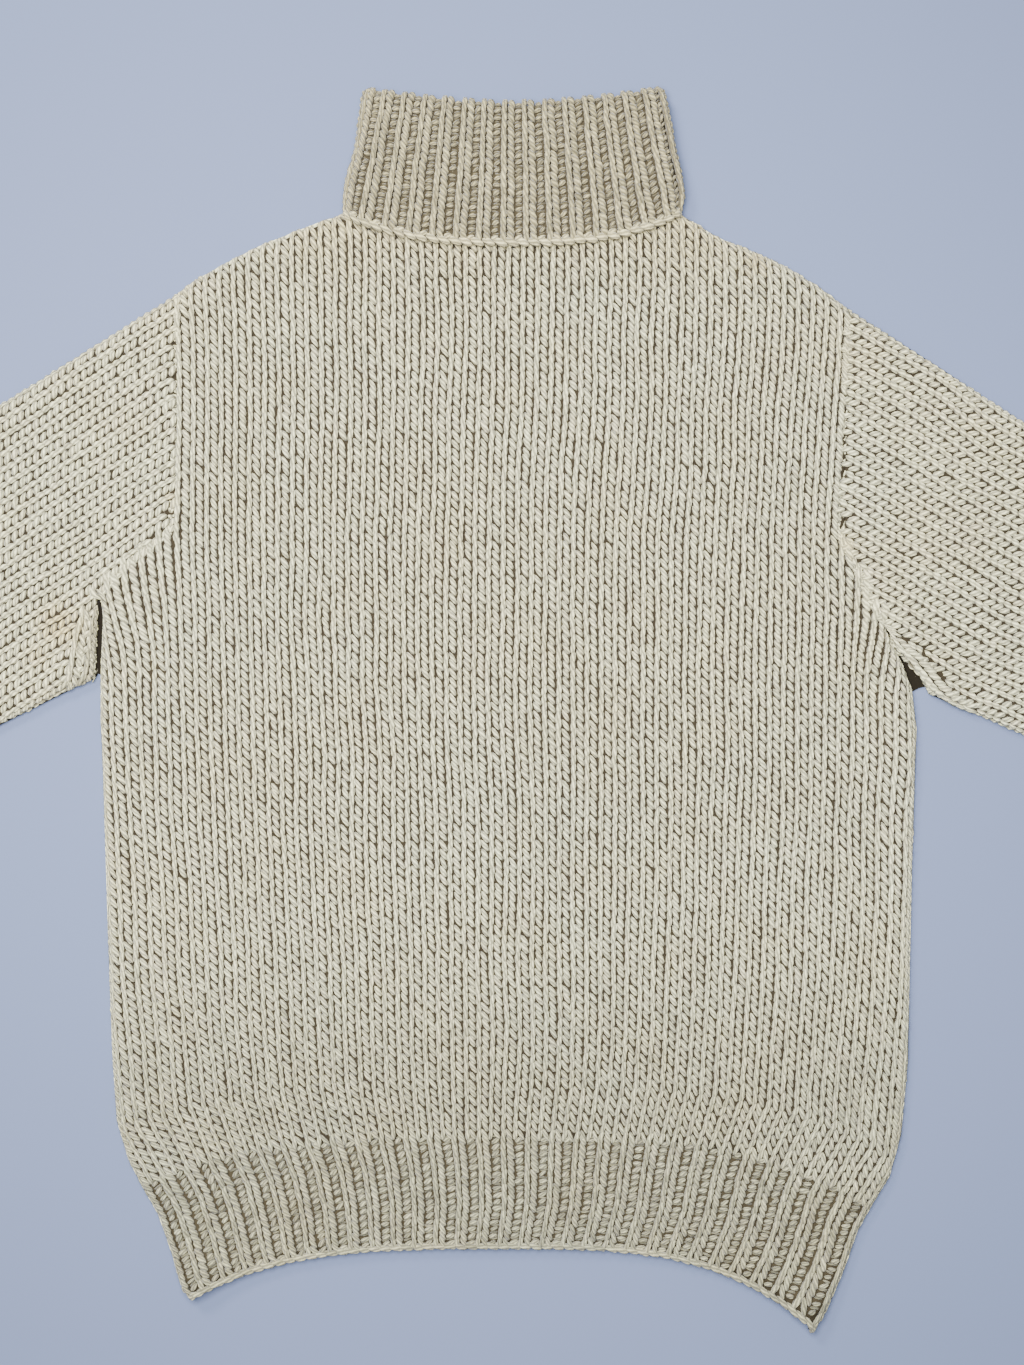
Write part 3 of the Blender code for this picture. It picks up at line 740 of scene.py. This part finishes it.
def addGround(name, walls, around, finish):
    # The ground of the cloth below its strands: a thin closed shell
    rows, columns, _ = walls[0].shape
    made = addMesh(name, np.concatenate(walls), wallFaces(rows, columns, around), finish)
    bpy.context.view_layer.objects.active = made
    made.select_set(True)
    bpy.ops.object.mode_set(mode="EDIT")
    bpy.ops.mesh.select_all(action="SELECT")
    bpy.ops.mesh.normals_make_consistent(inside=False)
    bpy.ops.object.mode_set(mode="OBJECT")
    made.select_set(False)
    return made


def groundShell(name, x, y, lines, layer):
    walls = [laidOut(x, y, -layer.depth - deeper, lines, layer.side) for deeper in (0, cloth["ground"])]
    return addGround(name, walls, False, layer.finish)


def tubeShell(name, x, y, lines, layer):
    # A flattened tube: its upper layer, and back under it
    walls = []
    for deeper in (0, cloth["ground"]):
        upper = laidOut(x, y, -layer.depth - deeper, lines)
        lower = laidOut(x, y, -lowerLayer.depth - deeper, lines, -1)
        walls.append(np.concatenate([upper, lower[:, ::-1][:, 1:-1]], axis=1))
    return addGround(name, walls, True, layer.finish)


def declare(ground, strands, node):
    # What the frame has to know of one piece of the sweater
    for piece in [ground] + strands:
        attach(piece, "root")
    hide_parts(node)


# Body
body = {"bottom": -297.0, "rowPitch": 5.55, "rows": 109, "wales": 33, "flat": (0.54, 0.62)}
walePitches = {-297: 7.93, -262: 8.55, -180: 8.85, -60: 9.05, 0: 9.12, 97: 9.2, 180: 9.3, 250: 9.4}
waleMiddles = {-297: -3.5, -262: -2, -180: -2, -60: -2.5, 0: -3.7, 97: -3.5, 200: 0, 250: 0.5}
bands = {"low": (-400, -110), "mid": (-110, 90), "high": (90, 400)}  # each is a mesh of its own
foldReach = 10.4  # how far strands go on round a folded edge


def waleX(wale, y):
    pitch = np.interp(y, list(walePitches), list(walePitches.values()))
    middle = np.interp(y, list(waleMiddles), list(waleMiddles.values()))
    left = smooth((-wale - 22.5) / 7) * smooth(y / 80)
    right = smooth((wale - 22.5) / 7) * smooth((y + 10) / 85)
    return middle + wale * pitch - 17 * left + 11 * right


def stitchHeight(middle, x):
    # A row of stitches hangs lower at the sides the nearer it is to the hem
    share = np.minimum(np.abs(x + 2) / np.where(x < 0, 242, 236), 1.1) ** cloth["bow"]
    drop = np.where(x < 0, 32, 45) * np.clip((20 - middle) / 317, 0, 1) ** 1.3
    above = (rowHeight(middle, x) - middle) * smooth((middle + 40) / 70)
    return middle - drop * share + above


def bodyStitches():
    rows = np.arange(body["rows"])
    wales = np.arange(-body["wales"], body["wales"] + 1)
    row, wale = np.meshgrid(rows, wales, indexing="ij")
    middle = body["bottom"] + (row + 0.4) * body["rowPitch"]
    x = waleX(wale, middle)
    y = stitchHeight(middle, x)
    x = x + 0.9 * drift(11, x, y, 45) + 0.35 * drift(12, wale * 30.0, y, 24)
    y = y + 0.9 * drift(13, x, y, 60) + 0.35 * drift(14, x, row * 30.0, 30)
    return x, y


def insideBody(x, y):
    # Between the armhole seams, over the folds and up to the collar
    inward = nearestOf(x, y, bodyFolds)[0]
    seams = np.minimum(nearestOn(x, y, leftSeam)[0], nearestOn(x, y, rightSeam)[0])
    leftX, _, rightX, _ = rowEnds(y)
    within = (y < -40) | ((x > leftX - 14) & (x < rightX + 14))
    sewn = (y > 30) & (y < 252)
    between = ~sewn | (seams > np.where(y < 104, -2.6, 0.2))
    neck = (y < collarEdge(x) + 7) | (np.abs(x) > 112)
    side = (y >= 30) | (inward > -foldReach)
    top = (y < 150) | (inward > -5.5)
    return between & neck & side & top & within


def panelGrid(rows, columns):
    # Flat places over a panel, close together at both folded edges, with the cloth that the folds take up
    half = np.concatenate([[0, 1.5, 3.2, 5.2, 8, 12], np.linspace(18, 100, columns)]) / 200
    across = np.concatenate([half, 1 - half[-2::-1]])
    grid = []
    for row in rows:
        grow = 0.25 if row in seamRows[1:-1] else -cloth["spare"] * cloth["roll"]
        line = row.leftX + grow + across * (row.rightX - row.leftX - 2 * grow)
        grid.append((line, rowHeight(row.middle, line)))
    return np.array(grid).transpose(1, 0, 2)


def denser(rows, steps):
    found = []
    for first, last in zip(rows, rows[1:]):
        found += [Row(*(a + (b - a) * step / steps for a, b in zip(first, last))) for step in range(steps)]
    return found + [rows[-1]]


def makeBody():
    grid = panelGrid(denser(bodyRows, 3), 22)
    front = groundShell("front_panel_cloth", *grid, bodyFolds, plainLayer)
    back = groundShell("back_panel_cloth", *grid, bodyFolds, lowerLayer)
    x, y = bodyStitches()
    keep = insideBody(x, y)
    strands = []
    for band, (low, high) in bands.items():
        found = knitted(x, y, keep & (y >= low) & (y < high), len(strands) + 1)
        strands.append(addStrands("front_stitches_" + band, found, bodyFolds))
    declare(front, strands, "front_panel")
    declare(back, [], "back_panel")
    print("body: stitches", int(keep.sum()))


makeBody()

# Hem
hem = {"rows": 16, "wales": 60.2, "narrow": 0.62, "flat": (0.5, 0.13)}
hemRise = hemRows[-1].middle - hemRows[0].middle
castOn = (-14, 5.9, 2.2, -2.1)  # lean, length, width and height of the strands along a ribbed edge
castOnPitch = 7.0


def hemStitches(first):
    # Every second wale, from the knitted ones or from the purled ones between them
    row, wale = np.meshgrid(np.arange(hem["rows"]), np.arange(first, 33, 2), indexing="ij")
    middle = hemRows[0].middle + (row + 0.5) / hem["rows"] * hemRise + 1.0
    leftX, _, rightX, _ = rowEnds(middle)
    x = (leftX + rightX) / 2 + wale / hem["wales"] * (rightX - leftX)
    y = rowHeight(middle, x)
    return x, y, nearestOf(x, y, bodyFolds)[0] > -foldReach


def hemRope():
    # The cast-on edge, as a rope under the first row
    low = hemRows[0]
    x = np.linspace(low.leftX - 4, low.rightX + 4, 400)
    x, y = spaced(np.stack([x, rowHeight(low.middle, x)], axis=-1), 3, castOnPitch, -3)
    return rope(x, y + 1.0, np.arctan2(np.gradient(y), np.gradient(x)), *castOn)


def makeHem():
    middles = hemRows[0].middle + np.linspace(0, 1, 9) * hemRise
    grid = panelGrid([Row(middle, *rowEnds(middle)) for middle in middles], 26)
    front = groundShell("front_hem_cloth", *grid, bodyFolds, ribLayer)
    back = groundShell("back_hem_cloth", *grid, bodyFolds, lowerLayer)
    found = knitted(*hemStitches(-32), 31, narrow=hem["narrow"], sizes=ribLegs)
    found += purled(*hemStitches(-31), 32)
    # The hem's low mean tone is painted shade, where the ribs lie in lower light
    strands = addStrands("hem_stitches", found + hemRope(), bodyFolds, 0.37)
    declare(front, [strands], "front_hem_rib")
    declare(back, [], "back_hem_rib")
    print("hem: done")


makeHem()

# Sleeves and cuffs
sleeveSizes = {
    "rowPitch": 5.5,
    "walePitch": 9.15,
    # The sleeves' higher mean tone is painted light, where more light falls on them
    "palenessAndShade": 0.62,
    "pinch": {"left": 0.0, "right": 6.0},  # how much narrower a sleeve lies beyond its armhole
    "underarm": {"left": [], "right": [(248.5, 22), (258, 10.5), (267, 1)]},  # its edge from seam to fold
}
strips = {  # cloth turned up under each arm: middle lines, their widths, how far they cover, the painted shade of each column, and the gap to the body, filled by a near-black lining of painted shade
    "left": {
        "paths": [
            [(-270.6, 44, 4.0), (-272.6, 30, 6), (-273.8, 14, 7.4), (-276, 3, 8.4), (-280.5, -4, 8.6)],
            [(-277.5, 44, 6.5), (-281.8, 28, 8), (-284.2, 12, 8.4), (-285.8, 2, 8.4), (-290.5, -5, 8)],
        ],
        "cover": 1.8,
        "paintedShades": (0.42, 0.16),
        "gap": [(-266.5, 54), (-270.5, 54), (-274, 7), (-266, 4)],
    },
    "right": {
        "paths": [
            [(245.2, 35, 4.4), (250, 28.5, 5), (256, 21, 8), (263.5, 14, 10), (270.5, 5.5, 10.6)]
            + [(277.5, -4, 10.6), (287, -12, 9.6), (299, -17.5, 8)],
        ],
        "cover": 0.7,
        "paintedShades": (0.06,),
        "gap": [(240, 42), (246, 14), (255, 2), (258.5, -6), (263, -5.5), (267, -3.5), (272, -2.5)]
        + [(268, 5), (257, 25), (249, 42)],
    },
}


def sleeveFrame(sleeve):
    # Directions along and across a sleeve, its armhole from the shoulder down, and the start of its fold
    outward = -1 if sleeve.side == "left" else 1
    slope = np.radians(sleeve.slope)
    along = np.array([outward * np.cos(slope), -np.sin(slope)])
    across = np.array([-outward * np.sin(slope), -np.cos(slope)])
    seam = np.array(leftSeam[::-1] if sleeve.side == "left" else rightSeam)
    return along, across, seam, np.array([sleeve.foldX, sleeve.foldY])


def reachOn(sleeve, x, y):
    # How far along the sleeve a flat place lies, from the shoulder's tip
    along, _, seam, _ = sleeveFrame(sleeve)
    return (x - seam[0][0]) * along[0] + (y - seam[0][1]) * along[1]


def drawnIn(sleeve, x, y):
    # A sleeve is gathered towards its cuff
    along, across, seam, _ = sleeveFrame(sleeve)
    top = seam[0] + sleeve.length * along
    reach = reachOn(sleeve, x, y)
    off = (x - top[0]) * across[0] + (y - top[1]) * across[1] - sleeve.endWidth / 2
    pull = smooth((reach - sleeve.length) / cuff["gather"] + 1) * (cuff["width"] / sleeve.endWidth - 1)
    beyond = smooth((reach - np.where(off < 0, 70, 180)) / 60) * (1 - smooth((reach - 330) / 150))
    shift = off * pull - sleeveSizes["pinch"][sleeve.side] * beyond * np.clip(off / 75, -1, 1)
    return x + shift * across[0], y + shift * across[1]


def sleeveLines(sleeve):
    # Folded edges of a sleeve, with the sleeve to the right of their travel
    along, across, seam, fold = sleeveFrame(sleeve)
    steps = np.concatenate([[0, 0.5], np.linspace(0.93, 1, 8), [1.03]])  # past its end, for the strands there
    end = seam[0] + sleeve.length * along
    top = np.array([seam[0] - 20 * along] + [seam[0] + (end - seam[0]) * step for step in steps])
    low = end + across * sleeve.endWidth
    bottom = np.array([fold + (low - fold) * step for step in steps])
    top, bottom = [np.stack(drawnIn(sleeve, *line.T), axis=-1).tolist() for line in (top, bottom)]
    bottom = [seam[-1].tolist()] + sleeveSizes["underarm"][sleeve.side] + bottom
    return [top[::-1], bottom] if sleeve.side == "left" else [top, bottom[::-1]]


def sleeveTube(sleeve):
    # Rings of flat places from the armhole to the cuff
    along, across, seam, fold = sleeveFrame(sleeve)
    whole = (fold - seam[0]) @ across
    line = np.array([*seam, *sleeveSizes["underarm"][sleeve.side], fold])
    edge = np.array([-cloth["spare"] * cloth["roll"], -1, 0.5, 2.5, 5, 9])
    steps = np.concatenate([edge, np.linspace(15, whole - 15, 14), whole - edge[::-1]])
    at = (line - seam[0]) @ across
    corners = [place for place in at if 15 < place < whole - 15 and np.abs(steps - place).min() > 1]
    steps = np.sort(np.concatenate([steps, corners]))
    inside = np.clip(steps, 0, whole)
    past = np.outer(steps - inside, across)
    start = np.stack([np.interp(steps, at, line[:, axis]) for axis in (0, 1)], axis=-1) + past
    ends = seam[0] + sleeve.length * along + np.outer(inside / whole * sleeve.endWidth, across) + past
    rings = []
    for share in np.concatenate([[0.001, 0.008, 0.02, 0.04], np.linspace(0.07, 1, 44)]):
        rings.append(drawnIn(sleeve, *(start + (ends - start) * share).T))
    return np.array(rings).transpose(1, 0, 2)


def sleeveStitches(sleeve):
    along, across, seam, _ = sleeveFrame(sleeve)
    rows = np.arange(-30, int(sleeve.length / sleeveSizes["rowPitch"]) + 1)[::-1]
    row, wale = np.meshgrid(rows, np.arange(-1, sleeve.wales), indexing="ij")
    reach = (row + 0.5) * sleeveSizes["rowPitch"]
    deep = (wale + 0.4) * sleeveSizes["walePitch"]
    x, y = [seam[0][axis] + reach * along[axis] + deep * across[axis] for axis in (0, 1)]
    seed = 50 if sleeve.side == "left" else 60
    x = x + 0.9 * drift(seed, x, y, 40)
    y = y + 0.9 * drift(seed + 1, x, y, 40)
    return drawnIn(sleeve, x, y)


def insideSleeve(sleeve, x, y):
    # On the sleeve's side of the armhole line. Below it the strands turn round the sleeve's own fold
    along, _, seam, fold = sleeveFrame(sleeve)
    lineX, lineY = np.concatenate([[fold + (0, -60)], seam[::-1], [seam[0] + (0, 40)]]).T
    wrap = 9 * smooth((seam[-1][1] - 4 - y) / 8)
    beyond = (x - np.interp(y, lineY, lineX)) * np.sign(along[0]) > 0.2 - wrap
    reach = reachOn(sleeve, x, y)
    return beyond & (reach < sleeve.length) & (reach > -90)


def stripColumn(places, seed, dim):
    # One column of stitches along a line, whose places are x, y and the column's width
    middleX, middleY, width = [column[::-1] for column in spaced(np.array(places), 0.5, 5.4)]
    aheadX, aheadY = np.gradient(middleX), np.gradient(middleY)
    length = np.hypot(aheadX, aheadY)
    shift = np.outer(width, (-1, 0, 1))
    x = middleX[:, None] + (aheadY / length)[:, None] * shift
    y = middleY[:, None] - (aheadX / length)[:, None] * shift
    return knitted(x, y, shift == 0, seed, sizes=stripLegs, dim=dim)


def underStrips(strip, x, y):
    # Stitches hidden by the cloth turned up under an arm
    hidden = np.zeros(np.shape(x), bool)
    for places in strip["paths"]:
        pathX, pathY, width = np.array(places)[::-1].T
        away = np.abs(nearestOn(x, y, list(zip(pathX, pathY)))[0])
        hidden |= away < np.interp(y, pathY, width) / 2 - strip["cover"]
    return hidden


def seamStrands(sleeve):
    # The sewn armhole: strands that lie deep between the sleeve and the body
    x, y = spaced(sleeveFrame(sleeve)[2], 3, 4.6, 2)
    angle = np.arctan2(-np.gradient(y), -np.gradient(x))
    low = 1.3 * smooth((106 - y) / 10)
    found = []
    for shift, lean, level in ((-1.0, 20, -4.1 + low), (1.0, -20, -4.3 + low)):
        found += rope(x + np.sin(angle) * shift, y - np.cos(angle) * shift, angle, lean, 4.2, 1.8, level)
    return found


def addLining(name, outline, low=0.3, high=1.4):
    # A thin flat near-black piece behind a gap: painted shade of the cloth there
    count = len(outline)
    points = [(x, y, z) for z in (low, high) for x, y in outline]
    faces = [tuple(range(count))[::-1], tuple(range(count, 2 * count))]
    faces += [(i, (i + 1) % count, count + (i + 1) % count, count + i) for i in range(count)]
    made = addMesh(name, points, faces, innerShadeFinish)
    made.data.shade_flat()
    return made


def makeSleeve(sleeve):
    name = sleeve.side + "_sleeve"
    lines = sleeveLines(sleeve)
    ground = tubeShell(name + "_cloth", *sleeveTube(sleeve), lines, plainLayer)
    x, y = sleeveStitches(sleeve)
    strip = strips[sleeve.side]
    keep = (nearestOf(x, y, lines)[0] > -9.5) & insideSleeve(sleeve, x, y) & ~underStrips(strip, x, y)
    found = knitted(x, y, keep, 40, sizes=sleeveLegs)
    # The cloth turned up under the arms lies in painted shade, the inner column most
    for places, dim in zip(strip["paths"], strip["paintedShades"]):
        found += stripColumn(places, 44 + len(found), dim)
    found += seamStrands(sleeve)
    strands = addStrands(name + "_stitches", found, lines, sleeveSizes["palenessAndShade"])
    lining = addLining(name + "_underarm_shade", strip["gap"])
    declare(ground, [strands, lining], name)
    print(name + ": stitches", int(keep.sum()))


def makeCuff(sleeve):
    name = sleeve.side + "_cuff"
    along, across, seam, _ = sleeveFrame(sleeve)
    middle = seam[0] + sleeve.length * along + across * sleeve.endWidth / 2
    right = np.array([-along[1], along[0]])
    at, halfAt = np.array(cuff["halfWidths"]).T

    def flatPlace(reach, off):
        return [middle[axis] + along[axis] * reach + right[axis] * off for axis in (0, 1)]

    beyond = [(-14, halfAt[0])] + cuff["halfWidths"] + [(cuff["length"] + 14, halfAt[-1])]
    left, other = [[flatPlace(reach, side * half) for reach, half in beyond] for side in (-1, 1)]
    lines = [left[::-1], other]
    reach = np.linspace(0.4, cuff["length"], 9)[::-1][:, None]
    share = np.concatenate([[0, 3, 6, 10], np.linspace(16, 184, 13), [190, 194, 197, 200]]) / 100 - 1
    x, y = flatPlace(reach, share * (np.interp(reach, at, halfAt) + cloth["spare"] * cloth["roll"]))
    ground = tubeShell(name + "_cloth", x, y, lines, ribLayer)

    def ribStitches(offset):
        rows = np.arange(int(cuff["length"] / cuff["rowPitch"]))
        row, rib = np.meshgrid(rows, np.arange(-1, cuff["ribs"] + 1), indexing="ij")
        reach = cuff["length"] - (row + 0.4) * cuff["rowPitch"]
        x, y = flatPlace(reach, ((rib + offset) / cuff["ribs"] * 2 - 1) * np.interp(reach, at, halfAt))
        return x, y, nearestOf(x, y, lines)[0] > -10

    found = knitted(*ribStitches(0.42), 70, narrow=hem["narrow"], sizes=ribLegs)
    found += purled(*ribStitches(0.92), 71)
    off = np.arange(-halfAt[-1] - 4, halfAt[-1] + 5, castOnPitch)
    x, y = flatPlace(cuff["length"] - 0.6, off)
    found += rope(x, y, np.arctan2(right[1], right[0]), *castOn)
    strands = addStrands(name + "_stitches", found, lines)
    declare(ground, [strands], name)


for sleeve in sleeves:
    makeSleeve(sleeve)
    makeCuff(sleeve)
print("sleeves and cuffs: done")


# Collar
def collarGround():
    half, inside, depth = collar["half"], collar["inside"], ribLayer.depth
    under = depth + cloth["ground"]
    flat = np.concatenate([np.linspace(-1, 1, 41), np.ones(11), np.linspace(1, -1, 21), -np.ones(11)])
    turns = np.radians(np.linspace(75, -75, 11))
    turn = np.concatenate([np.full(41, quarter), turns, np.full(21, -quarter), -np.pi - turns[::-1]])
    bend, bendRadius = (half + inside) / 2, (half - inside) / 2
    # A share of the height, then how far above it and how far from the middle layer each wall lies
    shares = (0.0, 0.03, 0.1, 0.25, 0.4, 0.6, 0.8, 0.92)
    profile = [(share, (0, half - depth), (0, half - under)) for share in shares]
    for angle in np.radians([0, 25, 50, 75, 90, 105, 130, 155, 180]):
        sizes = (bendRadius - depth, max(bendRadius - under, 0.1))
        profile.append((1.0, *[(size * np.sin(angle), bend + size * np.cos(angle)) for size in sizes]))
    low = inside + depth * 0.3
    profile += [(share, (0, low), (0, low + cloth["ground"])) for share in (0.6, 0.24)]
    walls = []
    for wall in (1, 2):
        rings = []
        for row in profile:
            share, (above, radius) = row[0], row[wall]
            left, right = collarSide(share)
            x = (right - left) / 2 + flat * ((left + right) / 2 - half) + radius * np.cos(turn)
            edge, top = collarEdge(x), collarTop(x) - bendRadius
            y = edge + (top - edge) * share + above
            rings.append(np.stack([x, y, half + radius * np.sin(turn)], axis=-1))
        walls.append(np.array(rings))
    return addGround("collar_cloth", walls, True, ribLayer.finish)


def collarPlaces(offset, rows):
    # Flat places of stitches: x, height above the turned-down edge, and which of them are on the collar
    ribs = np.arange(-collar["ribs"], collar["ribs"] + 1)
    row, rib = np.meshgrid(rows, ribs, indexing="ij")
    share = (row + 0.5) * collar["rowPitch"] / collar["depth"]
    pitch = collar["ribLow"] + (collar["ribHigh"] - collar["ribLow"]) * share
    x = -2.3 + 0.7 * share + (rib + offset) * pitch + 0.4 * drift(80, rib * 30.0, row * 5.0, 20)
    left, right = collarSide(share)
    return x, share * collar["depth"], np.minimum(x + left, right - x) > -21


def edgeChain():
    # The bound-off edge: a rope of slanting strands, and small ones in the valleys between ribs
    x = np.arange(-132, 133, 7.3)
    found = rope(x, np.full(x.shape, -0.6), np.zeros(x.shape), -26, 5.6, 2.5, -1.9)
    x, y, _ = collarPlaces(0.42, np.array([0.05]))
    return found + rope(x[0], y[0] - 0.6, np.zeros(x[0].shape), 14, 3.0, 1.9, -1.7)


def makeCollar():
    rows = np.arange(22)
    ground = collarGround()
    found = knitted(*collarPlaces(-0.08, rows), 81, narrow=0.68, sizes=collarLegs)
    found += purled(*collarPlaces(0.42, rows), 82, collarBumps)
    # Low mean tones on the collar and its edge are painted shade
    strands = addStrands("collar_stitches", found, None, 0.12, 330.0)
    chain = addStrands("collar_edge", edgeChain(), None, 0.42, 290.0, 0.85)
    declare(ground, [strands, chain], "collar")
    print("collar: done")


makeCollar()

# Floor, lamps and camera
studio = {
    "floor": (0.141, 0.177, 0.29),
    "floorSize": 6,
    "lamps": {"overhead": (0.5, 41.5, (-0.1, 0.14, 1.1)), "window": (0.4, 22.5, (-0.75, 1.0, 1.3))},
    "sky": (0.86, 0.9, 1.0),
    "skyStrength": 0.47,
    "height": 1.06,  # camera above the surface
    "clothHeight": 0.01,
    "frameHeight": 0.887,  # what it takes in, at the cloth
    "sensor": 36.0,
}


def addFloor():
    bpy.ops.mesh.primitive_plane_add(size=studio["floorSize"], location=(0, 0, -0.0002))
    floor = bpy.context.active_object
    floor.name = "floor"
    bpy.ops.object.transform_apply(location=True, rotation=True, scale=True)
    finish, _, shader = newMaterial("floor_finish")
    feed(shader, {"Base Color": studio["floor"], "Roughness": 0.9})
    floor.data.materials.append(finish)
    bpy.ops.object.select_all(action="DESELECT")
    return floor


def addLamp(name, size, energy, place):
    # A square lamp that faces the middle of the sweater
    bpy.ops.object.light_add(type="AREA", location=place)
    lamp = bpy.context.active_object
    lamp.name = name
    lamp.data.size = size
    lamp.data.energy = energy
    x, y, z = place
    lamp.rotation_euler = (float(np.arctan2(np.hypot(x, y), z)), 0, float(np.arctan2(x, -y)))


def addSky():
    sky = bpy.data.worlds.new("studio")
    bpy.context.scene.world = sky
    sky.use_nodes = True
    feed(sky.node_tree.nodes["Background"], {"Color": studio["sky"], "Strength": studio["skyStrength"]})


def addCamera():
    camera = bpy.data.cameras.new("camera")
    camera.sensor_width = studio["sensor"]
    camera.lens = studio["sensor"] * (studio["height"] - studio["clothHeight"]) / studio["frameHeight"]
    holder = bpy.data.objects.new("camera", camera)
    holder.location = (*inMetres((0, 0, 0))[0][:2], studio["height"])
    bpy.context.scene.collection.objects.link(holder)
    bpy.context.scene.camera = holder


floor = addFloor()
for lampName, values in studio["lamps"].items():
    addLamp(lampName, *values)
addSky()
addCamera()
print("floor, lamps and camera: done")
